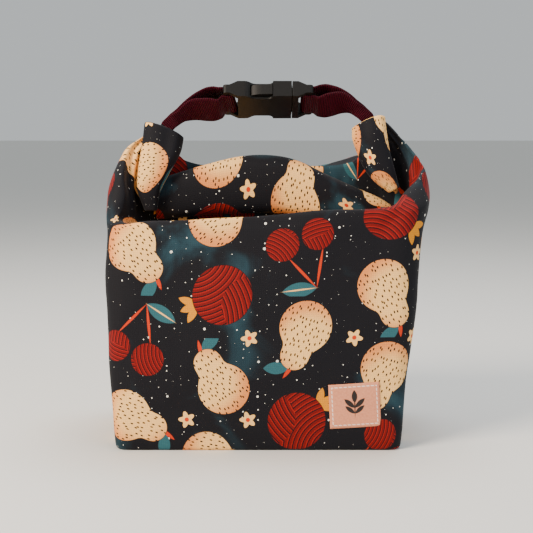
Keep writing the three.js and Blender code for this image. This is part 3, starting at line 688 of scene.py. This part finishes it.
def loopFrames(rows, toward, loop):
    # the band's frames: out of the roll, along the upper leg, round the bar and back below
    centre, _, _, lean = stationAt(rows, 1)
    way = rollWay(lean)
    flat = flatWay(lean) * -sign(flatWay(lean).z)
    exitPoint = centre + flatWay(lean) * loop["shift"]
    leave = way + Vector((toward * handle["exitTurn"], 0, 0))
    bend = Vector((handle["x"] - toward * (handle["halfLength"] - handle["barLength"]),
                   handle["y"], handle["height"]))
    barEnd = bend + Vector((-toward * handle["barLength"], 0, 0))
    path = (exitPoint, exitPoint + leave * loop["pull"],
            barEnd + Vector((-toward * handle["barPull"], 0, -loop["sag"])), barEnd)
    barRadius = handle["barThickness"] / 2 + handle["clearance"] + handle["thickness"] / 2
    exitGap = (handle["thickness"] + handle["clearance"]) / 2

    def frameAt(place, tangent, t):
        tilt = math.radians(mix(handle["webbingTilt"], handle["tilt"], smooth(*handle["tiltSpan"], t)))
        level = Vector((0, math.cos(tilt), -math.sin(tilt)))
        across = flat.lerp(level, smooth(*handle["levelSpan"], t))
        across = (across - tangent * across.dot(tangent)).normalized()
        gap = mix(exitGap, barRadius, smooth(*handle["partSpan"], t))
        return {
            "centre": place, "across": across, "through": tangent.cross(across) * toward,
            "width": mix(handle["gathered"], handle["width"], smooth(*handle["widthSpan"], t)),
            "gap": gap + loop["slack"] * between(handle["slackSpan"], t),
            "hang": loop["hang"] * between(handle["hangSpan"], t),
        }

    spine = [frameAt(exitPoint - way * handle["exitDepth"], way, 0)]
    for i in range(handle["steps"] + 1):
        t = i / handle["steps"]
        spine.append(frameAt(*bezier(*path, t), t))
    spine.append(dict(spine[-1], centre=bend))
    end = spine[-1]
    upper, turn, lower = [], [], []
    for f in spine:
        up, down = f["through"] * f["gap"], f["through"] * (f["gap"] + f["hang"])
        upper.append((f["centre"] + up, f["across"], f["width"], f["through"] * toward))
        lower.append((f["centre"] - down, f["across"], f["width"], f["through"] * -toward))
    for i in range(1, handle["bendSteps"]):
        angle = math.pi / 2 - i / handle["bendSteps"] * math.pi
        out = Vector((toward * math.cos(angle), 0, 0)) + end["through"] * math.sin(angle)
        turn.append((bend + out * barRadius, end["across"], handle["width"], out * toward))
    return upper + turn + lower[::-1]


def makeWebbing(name, node, frames):
    # a flat woven band with rounded selvedges
    edge = handle["thickness"] / 2
    selvedge = edge * handle["selvedge"]
    columns = [2 * k / handle["bandColumns"] - 1 for k in range(handle["bandColumns"] + 1)]
    section = [(u, 1) for u in columns] + [(1, 0)] + [(u, -1) for u in reversed(columns)] + [(-1, 0)]
    points, uvs, travelled, before = [], [], 0, None
    for centre, across, width, through in frames:
        travelled += (centre - before).length if before else 0
        before = centre
        for u, v in section:
            reach = (width / 2 - selvedge) * u + (sign(u) * selvedge if v == 0 else 0)
            p = centre + across * reach + through * (v * edge)
            points.append(toFrame(p))
            uvs.append(((u + 1) * handle["width"] / 2 / flatUnit, travelled / flatUnit))
    count = len(section)
    faces = tubeFaces(len(frames), count)
    last = (len(frames) - 1) * count
    faces.append(tuple(range(count))[::-1])
    faces.append(tuple(last + k for k in range(count)))
    obj = buildMesh(name, points, faces, uvs)
    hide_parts(node)
    return obj


leftStrap = makeWebbing("webbing_leftLoop", "left_strap", loopFrames(leftEndRows, 1, handle["left"]))
rightStrap = makeWebbing("webbing_rightLoop", "right_strap", loopFrames(rightEndRows, -1, handle["right"]))


print("stage: buckle")
buckle = {"bevel": 0.45, "armBevel": 0.6, "segments": 3, "sharp": 28}


def softenedCopy(node, name, width):
    # the solid's own form with its edges rounded as a mould rounds them
    mesh = nodes[node].data.copy()
    mesh.name = name
    work = bmesh.new()
    work.from_mesh(mesh)
    bmesh.ops.remove_doubles(work, verts=work.verts, dist=0.00001)
    bmesh.ops.dissolve_limit(work, angle_limit=math.radians(1), verts=work.verts, edges=work.edges)
    sharp = [e for e in work.edges if len(e.link_faces) == 2
             and e.calc_face_angle(0) > math.radians(buckle["sharp"])]
    bmesh.ops.bevel(work, geom=sharp, offset=width * mm, segments=buckle["segments"],
                    profile=0.5, affect="EDGES", clamp_overlap=True)
    for face in work.faces:
        face.smooth = True
    work.to_mesh(mesh)
    work.free()
    obj = addObject(name, mesh)
    weighted = obj.modifiers.new("normals", "WEIGHTED_NORMAL")
    weighted.keep_sharp = True
    applyModifiers(obj)
    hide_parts(node)
    return obj


socket = softenedCopy("buckle_socket", "buckle_socketShell", buckle["bevel"])
plug = softenedCopy("buckle_plug", "buckle_plugBody", buckle["bevel"])
frontArm = softenedCopy("front_prong", "buckle_frontArm", buckle["armBevel"])
rearArm = softenedCopy("rear_prong", "buckle_rearArm", buckle["armBevel"])
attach(socket, "socket")
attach(plug, "plug")


print("stage: label")
label = {
    "width": 35, "height": 31, "x": 66, "z": 32, "tilt": 3, "lift": 0.35, "thickness": 0.5,
    "pillow": 0.35, "pillowReach": 0.08, "columns": 36, "rows": 32,
    "stitchInset": 2.2, "stitchLength": 3.1, "stitchShare": 0.68, "stitchHalf": 0.28,
    "stitchColour": "#f0e2d6", "inkColour": "#2a2422",
    "sprig": [  # start, end and half width of the stem and leaves, mm from the label's middle
        ((0, -8.5), (0, 8.5), 0.45), ((0, 2), (0, 11), 1.9), ((0, -1.5), (-7, 5), 1.7),
        ((0, -1.5), (7, 5), 1.7), ((0, -5.5), (-6.5, 0), 1.5), ((0, -5.5), (6.5, 0), 1.5),
    ],
}


def frontPoint(x, z):
    # the place on the front panel at x, found by halving
    low, high = 0, 1
    for _ in range(24):
        middle = (low + high) / 2
        if ringPoint(middle, -1, z, 0).x < x:
            low = middle
        else:
            high = middle
    return ringPoint((low + high) / 2, -1, z, 0)


def makeLabel():
    columns, rows = label["columns"], label["rows"]
    turn = math.radians(label["tilt"])
    points, uvs = [], []
    for i in range(columns + 1):
        for j in range(rows + 1):
            u = (i / columns - 0.5) * label["width"]
            v = (j / rows - 0.5) * label["height"]
            p = frontPoint(label["x"] + u * math.cos(turn) - v * math.sin(turn),
                           label["z"] + u * math.sin(turn) + v * math.cos(turn))
            edge = min(0.5 - abs(u) / label["width"], 0.5 - abs(v) / label["height"])
            lift = label["lift"] + label["pillow"] * smooth(0, label["pillowReach"], edge)
            p.y -= lift + label["thickness"] * 0.5 + rippleAt(p, -1) - creased(p)
            points.append(toFrame(p))
            uvs.append((u / flatUnit, v / flatUnit))
    obj = buildMesh("clothLabel", points, gridFaces(columns + 1, rows + 1), uvs)
    thicken(obj, label["thickness"])
    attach(obj, "bag")
    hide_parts("fabric_label")
    return obj


clothLabel = makeLabel()


print("stage: materials")
printed = {
    "ground": "#0b0a11", "cloud": "#1a333d", "cloudCore": "#25444e", "cream": "#ffc778",
    "creamWarm": "#e28a48", "fleck": "#2c1d15", "red": "#6e0503", "redLight": "#930f08",
    "redDark": "#1c0405", "orange": "#c93408", "yellow": "#d98a08", "leaf": "#2c5b63",
    "dot": "#f1eee2", "inkEdge": 0.22,
    # mm between the motifs, across a cloud and between two dots
    "cell": 57.0, "cloudSize": 58.8235, "dots": ((5.26316, 0.1, 5.0), (12.5, 0.08, 6.0)),
    "cloudSpan": (0.53, 0.7), "coreSpan": (0.62, 0.8),
    "blossomGaps": (((-0.375, 0.5), 1.5), ((0.375, 0.5), 0.5)),  # where in the cell, in which cells
    # mm between threads, which are twice as coarse as real so that they show, and along a slub; then the
    # painted shade between the threads and painted highlight on them, as factors on the colour
    "threads": 1.309, "slubs": 1.66667, "slubShare": 0.5, "paintedWeaveShade": (0.86, 1.06), "bumpDepth": 0.0002,
}
# The motifs in mm from their middles: a disc is x, y and radius, a leaf is start, end and half width.
pear = {
    "discs": ((0, -8, 18), (1, 13, 10)), "melt": 9.0, "cheek": (-6, 2, 13), "cheekReach": 15.0,
    "leaves": (("leaf", [((2, 22), (19, 27), 4.2)]), ("orange", [((0, 19), (4, 30), 1.3)])),
    "fleckCell": (2.7, 5.4), "fleckSize": 0.19, "line": 0.3,
}
fruit = {
    "discs": ((0, -2, 20.5),), "hatch": ((0, -2), 3.3), "line": 0.35,
    "leaves": (("yellow", [((0, 16), tip, 2.6) for tip in ((-9, 26), (9, 26), (0, 28))]),),
}
cherries = {
    "discs": ((-12, -9, 11), (12, -13, 11.5)), "hatch": ((0, -11), 2.6), "line": 0.35,
    "leaves": (("orange", [((-12, 0), (3, 24), 0.9), ((12, -3), (3, 24), 0.9)]),
               ("leaf", [((3, 24), (25, 16), 5)]), ("cream", [((3, 24), (25, 16), 0.5)])),
}
blossom = {"disc": (0, 0, 4.6), "petals": 5.0, "petalDepth": -1.3, "heart": (0, 0, 1.5)}
hatching = {"arcs": ((34, 9), (-6, 40)), "part": (-13, -15, 19), "light": 0.5, "dark": 0.24}


def waveScale(apart):
    # for bands that are so many mm apart on the flat cloth, as a wave takes 20 radians for 1
    return 2 * math.pi / 20 * flatUnit / apart


def outsideDisc(tree, at, x, y, radius):
    # mm outside a circle, and less than 0 inside
    away = addNode(tree, "VectorMath DISTANCE", [at, (x, y, 0)])
    return addNode(tree, "Math SUBTRACT", [away.outputs["Value"], radius])


def outsideLeaf(tree, at, start, end, halfWidth):
    # mm outside a leaf with two pointed ends, where two circles overlap
    length = math.dist(start, end)
    radius = (length * length / 4 + halfWidth * halfWidth) / (2 * halfWidth)
    middle = ((start[0] + end[0]) / 2, (start[1] + end[1]) / 2)
    way = ((start[1] - end[1]) / length, (end[0] - start[0]) / length)
    both = [outsideDisc(tree, at, middle[0] + side * way[0] * (radius - halfWidth),
                        middle[1] + side * way[1] * (radius - halfWidth), radius) for side in (-1, 1)]
    return addNode(tree, "Math MAXIMUM", both)


def joined(tree, shapes):
    # one shape out of several
    whole = shapes[0]
    for shape in shapes[1:]:
        whole = addNode(tree, "Math MINIMUM", [whole, shape])
    return whole


def inked(tree, outside):
    # 1 inside a shape and 0 outside, with an edge as soft as printed ink
    return addNode(tree, "MapRange", [outside, -printed["inkEdge"], printed["inkEdge"], 1.0, 0.0],
                   interpolation_type="SMOOTHSTEP")


def inkedLine(tree, outside, halfWidth):
    # a drawn line along a shape's edge
    near = addNode(tree, "Math ABSOLUTE", [outside])
    return inked(tree, addNode(tree, "Math SUBTRACT", [near, halfWidth]))


def printOn(tree, under, over, mask):
    # one ink or cloth colour over another where the mask is 1
    inputs = {0: mask}
    for key, value in ((6, under), (7, over)):
        inputs[key] = linearColour(value) if isinstance(value, str) else value
    return addNode(tree, "Mix", inputs, data_type="RGBA").outputs[2]


def leavesOf(tree, at, motif):
    # the inks and shapes of a motif's leaves and stems
    return [(printed[ink], joined(tree, [outsideLeaf(tree, at, *leaf) for leaf in leaves]))
            for ink, leaves in motif["leaves"]]


def printMotif(tree, colour, here, inks):
    # each ink inside its own shape, in the cells that have this motif
    for ink, shape in inks:
        mask = addNode(tree, "Math MULTIPLY", [here, inked(tree, shape)])
        colour = printOn(tree, colour, ink, mask)
    return colour


def scattered(tree, flat, shift):
    # a half-drop repeat: the place in each cell, turned by the cell's own angle, and the cell's number
    cell = printed["cell"]
    cells = flatUnit / cell
    moved = addNode(tree, "VectorMath MULTIPLY_ADD", [flat, (cells, cells, 0), shift + (0,)])
    parts = addNode(tree, "SeparateXYZ", [moved])
    column = addNode(tree, "Math FLOOR", [parts])
    half = addNode(tree, "Math MULTIPLY", [column, 0.5])
    drop = addNode(tree, "Math FRACT", [half])
    dropped = addNode(tree, "Math ADD", [parts.outputs[1], drop])
    placed = addNode(tree, "CombineXYZ", [parts.outputs[0], dropped])
    number = addNode(tree, "VectorMath FLOOR", [placed])
    within = addNode(tree, "VectorMath FRACTION", [placed])
    middle = (-cell / 2, -cell / 2, 0)
    local = addNode(tree, "VectorMath MULTIPLY_ADD", [within, (cell, cell, cell), middle])
    chance = addNode(tree, "TexWhiteNoise", {"Vector": number}, noise_dimensions="2D")
    spin = addNode(tree, "Math MULTIPLY", [chance.outputs["Value"], 2 * math.pi])
    turned = addNode(tree, "VectorRotate", {"Vector": local, "Angle": spin}, rotation_type="Z_AXIS")
    order = addNode(tree, "VectorMath DOT_PRODUCT", [number, (2, 1, 0)])
    ahead = addNode(tree, "Math ADD", [order.outputs["Value"], 500.0])
    return turned, addNode(tree, "Math MODULO", [ahead, 5.0])


def hatchedRed(tree, at, centre, spacing):
    # curved hatching in two directions, as in a wood cut
    ways = []
    for x, y in hatching["arcs"]:
        arcs = outsideDisc(tree, at, centre[0] + x, centre[1] + y, 0)
        bands = addNode(tree, "Math DIVIDE", [arcs, spacing])
        ways.append(addNode(tree, "Math FRACT", [bands]))
    x, y, radius = hatching["part"]
    part = inked(tree, outsideDisc(tree, at, centre[0] + x, centre[1] + y, radius))
    share = addNode(tree, "Mix", {0: part, 2: ways[0], 3: ways[1]})
    colour = printed["red"]
    for ink, below in (("redLight", hatching["light"]), ("redDark", hatching["dark"])):
        mask = addNode(tree, "Math LESS_THAN", [share, below])
        colour = printOn(tree, colour, printed[ink], mask)
    return colour


def paintPear(tree, colour, at, here):
    discs = [outsideDisc(tree, at, *disc) for disc in pear["discs"]]
    shape = addNode(tree, "Math SMOOTH_MIN", discs + [pear["melt"]])
    warmth = addNode(tree, "MapRange", [outsideDisc(tree, at, *pear["cheek"]), 0.0, pear["cheekReach"]],
                     interpolation_type="SMOOTHSTEP")
    skin = printOn(tree, printed["cream"], printed["creamWarm"], warmth)
    wide, high = pear["fleckCell"]
    stretched = addNode(tree, "Mapping", {"Vector": at, "Scale": (1 / wide, 1 / high, 1)})
    flecks = addNode(tree, "TexVoronoi", {"Vector": stretched, "Scale": 1.0, "Randomness": 0.7},
                     voronoi_dimensions="2D")
    fleck = addNode(tree, "Math LESS_THAN", [flecks.outputs["Distance"], pear["fleckSize"]])
    skin = printOn(tree, skin, printed["fleck"], fleck)
    skin = printOn(tree, skin, printed["fleck"], inkedLine(tree, shape, pear["line"]))
    return printMotif(tree, colour, here, leavesOf(tree, at, pear) + [(skin, shape)])


def paintRed(tree, colour, at, here, motif):
    # a fruit or a pair of cherries
    shape = joined(tree, [outsideDisc(tree, at, *disc) for disc in motif["discs"]])
    line = inkedLine(tree, shape, motif["line"])
    skin = printOn(tree, hatchedRed(tree, at, *motif["hatch"]), printed["redDark"], line)
    return printMotif(tree, colour, here, leavesOf(tree, at, motif) + [(skin, shape)])


def paintBlossom(tree, colour, at, here):
    parts = addNode(tree, "SeparateXYZ", [at])
    angle = addNode(tree, "Math ARCTAN2", [parts.outputs[1], parts.outputs[0]])
    turns = addNode(tree, "Math MULTIPLY", [angle, blossom["petals"]])
    wave = addNode(tree, "Math COSINE", [turns])
    depth = addNode(tree, "Math MULTIPLY", [wave, blossom["petalDepth"]])
    petals = addNode(tree, "Math ADD", [outsideDisc(tree, at, *blossom["disc"]), depth])
    return printMotif(tree, colour, here, (
        (printed["cream"], petals), (printed["orange"], outsideDisc(tree, at, *blossom["heart"]))))


def paintGround(tree, flat):
    # night dark with drifting tints and two sizes of white dots, which crowd in places
    scale = flatUnit / printed["cloudSize"]
    drift = addNode(tree, "TexNoise", {"Vector": flat, "Scale": scale, "Detail": 4.0, "Distortion": 0.5},
                    noise_dimensions="2D")
    colour = printed["ground"]
    for tint, span in (("cloud", "cloudSpan"), ("cloudCore", "coreSpan")):
        mask = addNode(tree, "MapRange", [drift, printed[span][0], printed[span][1]],
                       interpolation_type="SMOOTHSTEP")
        colour = printOn(tree, colour, printed[tint], mask)
    for apart, biggest, power in printed["dots"]:  # the power makes big dots rare
        dots = addNode(tree, "TexVoronoi", {"Vector": flat, "Scale": flatUnit / apart},
                       voronoi_dimensions="2D")
        chance = addNode(tree, "SeparateXYZ", [dots.outputs["Color"]])
        size = addNode(tree, "Math POWER", [chance, power])
        radius = addNode(tree, "Math MULTIPLY", [size, biggest])
        dot = addNode(tree, "Math LESS_THAN", [dots.outputs["Distance"], radius])
        colour = printOn(tree, colour, printed["dot"], dot)
    return colour


def wovenThreads(tree, flat, look):
    # threads over and under each other, how uneven they are, and both as a bump
    scale = waveScale(look["threads"])
    waves = [addNode(tree, "TexWave", {"Vector": flat, "Scale": scale}, bands_direction=way).outputs["Fac"]
             for way in ("X", "Y")]
    woven = addNode(tree, "Math MULTIPLY", waves)
    uneven = addNode(tree, "TexNoise", {"Vector": flat, "Scale": flatUnit / look["slubs"], "Detail": 3.0},
                     noise_dimensions="2D")
    height = addNode(tree, "Math MULTIPLY_ADD", [uneven, look["slubShare"], woven])
    bump = addNode(tree, "Bump", {"Strength": 0.3, "Distance": look["bumpDepth"], "Height": height})
    return woven, uneven, bump


def makePrintedCotton():
    # printed cotton canvas, plain woven: matte, with the faintest sheen where it folds
    material, tree = startMaterial("printed cotton canvas, plain woven")
    flat = addNode(tree, "UVMap", uv_map="cloth")
    colour = paintGround(tree, flat)
    for shift, most in printed["blossomGaps"]:
        at, number = scattered(tree, flat, shift)
        here = addNode(tree, "Math LESS_THAN", [number, most])
        colour = paintBlossom(tree, colour, at, here)
    at, number = scattered(tree, flat, (0.0, 0.0))
    isFruit, isCherries = [addNode(tree, "Math COMPARE", [number, which, 0.1]) for which in (1.0, 3.0)]
    others = addNode(tree, "Math ADD", [isFruit, isCherries])
    isPear = addNode(tree, "Math SUBTRACT", [1.0, others])
    colour = paintPear(tree, colour, at, isPear)
    colour = paintRed(tree, colour, at, isFruit, fruit)
    colour = paintRed(tree, colour, at, isCherries, cherries)
    woven, _, bump = wovenThreads(tree, flat, printed)
    # painted shade between the threads and painted highlight on their crowns, multiplied into the print
    dark, light = printed["paintedWeaveShade"]
    paintedThreadShade = addNode(tree, "MapRange", {0: woven, 3: dark, 4: light})
    cloth = addNode(tree, "Mix", {0: 1.0, 6: colour, 7: paintedThreadShade}, data_type="RGBA", blend_type="MULTIPLY")
    return finishMaterial(material, {
        "Base Color": cloth.outputs[2], "Normal": bump, "Roughness": 0.74, "Specular IOR Level": 0.2,
        "Sheen Weight": 0.04, "Sheen Roughness": 0.4})


plainCloth = {
    "lining": ("#8b9097", "#a4a9b0"), "label": ("#c87c5b", "#e39a78"),
    "threads": 1.0472, "slubs": 1.42857, "slubShare": 0.7, "bumpDepth": 0.0002,  # mm, as above
}


def makePlainCotton(name, colours, decorate=None):
    # plain cotton, woven and piece dyed: matte, with slightly uneven threads
    material, tree = startMaterial(name)
    flat = addNode(tree, "UVMap", uv_map="cloth")
    _, uneven, bump = wovenThreads(tree, flat, plainCloth)
    colour = printOn(tree, colours[0], colours[1], uneven)
    if decorate:
        colour = decorate(tree, colour, flat)
    return finishMaterial(material, {
        "Base Color": colour, "Normal": bump, "Roughness": 0.85, "Specular IOR Level": 0.25})


def decorateLabel(tree, colour, flat):
    # a running stitch near the edge, and a printed leaf sprig
    at = addNode(tree, "VectorMath SCALE", {0: flat, "Scale": flatUnit})
    parts = addNode(tree, "SeparateXYZ", [at])
    sides = []
    for k, side in ((0, "width"), (1, "height")):
        reach = addNode(tree, "Math ABSOLUTE", [parts.outputs[k]])
        sides.append(addNode(tree, "Math SUBTRACT", [reach, label[side] / 2 - label["stitchInset"]]))
    border = addNode(tree, "Math MAXIMUM", sides)
    along = addNode(tree, "Math ADD", [parts.outputs[0], parts.outputs[1]])
    count = addNode(tree, "Math DIVIDE", [along, label["stitchLength"]])
    beat = addNode(tree, "Math FRACT", [count])
    drawn = addNode(tree, "Math LESS_THAN", [beat, label["stitchShare"]])
    line = inkedLine(tree, border, label["stitchHalf"])
    stitch = addNode(tree, "Math MULTIPLY", [drawn, line])
    colour = printOn(tree, colour, label["stitchColour"], stitch)
    for leaf in label["sprig"]:
        colour = printOn(tree, colour, label["inkColour"], inked(tree, outsideLeaf(tree, at, *leaf)))
    return colour


band = {
    # painted shade between the ribs, and a painted highlight on the ribs where they catch the light
    "between": "#120106", "ribs": "#4c0218", "bumpDepth": 0.0005,
    "ribGap": 1.25664, "warpGap": 1.0472,  # mm; the warp is twice as coarse as real so that it shows
}


def makeBandWeave():
    # polyester webbing, woven with crosswise ribs that catch the light in thin lines, painted into the
    # colour as a highlight on the ribs and shade between them
    material, tree = startMaterial("polyester webbing, ribbed weave")
    flat = addNode(tree, "UVMap", uv_map="cloth")
    ribs = addNode(tree, "TexWave", {"Vector": flat, "Scale": waveScale(band["ribGap"]), "Distortion": 0.3,
                                     "Detail Scale": 8.0}, bands_direction="Y").outputs["Fac"]
    warp = addNode(tree, "TexWave", {"Vector": flat, "Scale": waveScale(band["warpGap"])},
                   bands_direction="X").outputs["Fac"]
    height = addNode(tree, "Math MULTIPLY_ADD", [warp, 0.3, ribs])
    bump = addNode(tree, "Bump", {"Strength": 0.9, "Distance": band["bumpDepth"], "Height": height})
    # painted shade between the ribs and painted highlight along them
    colour = printOn(tree, band["between"], band["ribs"], ribs)
    return finishMaterial(material, {
        "Base Color": colour, "Normal": bump, "Roughness": 0.6, "Specular IOR Level": 0.1})


acetal = {
    "colour": "#080605", "roughness": (0.42, 0.56), "bumpDepth": 0.0001,
    "grain": 0.90909,  # mm, coarser than a real etched mould's so that it shows
}


def makeBucklePlastic():
    # acetal, injection moulded: satin, near black, with the fine grain of an etched mould
    material, tree = startMaterial("acetal, moulded satin")
    place = addNode(tree, "TexCoord").outputs["Object"]
    grain = addNode(tree, "TexNoise", {"Vector": place, "Scale": 1 / (acetal["grain"] * mm), "Detail": 4.0})
    bump = addNode(tree, "Bump", {"Strength": 0.2, "Distance": acetal["bumpDepth"], "Height": grain})
    low, high = acetal["roughness"]
    rough = addNode(tree, "MapRange", {0: grain, 3: low, 4: high})
    return finishMaterial(material, {
        "Base Color": linearColour(acetal["colour"]), "Normal": bump, "Roughness": rough,
        "IOR": 1.48, "Specular IOR Level": 0.26})


printedCotton = makePrintedCotton()
liningCotton = makePlainCotton("cotton lining, plain woven", plainCloth["lining"])
bandWeave = makeBandWeave()
bucklePlastic = makeBucklePlastic()
labelCotton = makePlainCotton("cotton label, stitched", plainCloth["label"], decorateLabel)
for material, pieces in (
    (printedCotton, (outerFront, outerBack, rollMiddle, rollLeft, rollRight)),
    (liningCotton, (liningFront, liningBack)),
    (bandWeave, (leftStrap, rightStrap, nodes["left_strap_tail"], nodes["right_strap_tail"])),
    (bucklePlastic, (socket, plug, frontArm, rearArm)),
    (labelCotton, (clothLabel,)),
):
    for piece in pieces:
        piece.data.materials.clear()
        piece.data.materials.append(material)


print("stage: transforms baked into the straps and arms")
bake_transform(leftStrap)
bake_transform(rightStrap)
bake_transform(frontArm)
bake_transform(rearArm)
